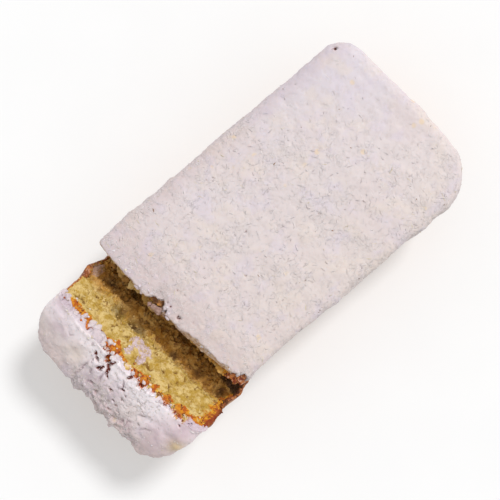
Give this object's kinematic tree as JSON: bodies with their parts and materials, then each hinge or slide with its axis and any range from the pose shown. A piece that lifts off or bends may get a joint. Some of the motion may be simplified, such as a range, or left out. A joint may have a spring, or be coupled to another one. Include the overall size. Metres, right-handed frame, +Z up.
{
  "type": "coconut loaf cake",
  "caption": "Tin-baked coconut loaf cake with shredded coconut icing on top; the end slice is cut off and leans outward, showing the crumb.",
  "frame": {"origin": "bottom centre of the whole cake's bounding box, on the surface it stands on", "axes": "+Z up; the loaf lies along X with its uncut end at +X and the leaning end slice at -X; +Y is to the left when looking along +X"},
  "size_m": [0.2568, 0.1242, 0.0736],
  "materials": {
    "sponge": null,
    "coconut_icing": null
  },
  "bodies": {
    "root": {"loaf_sponge": "sponge", "loaf_icing": "coconut_icing", "slice_sponge": "sponge", "slice_icing": "coconut_icing"}
  },
  "joints": []
}
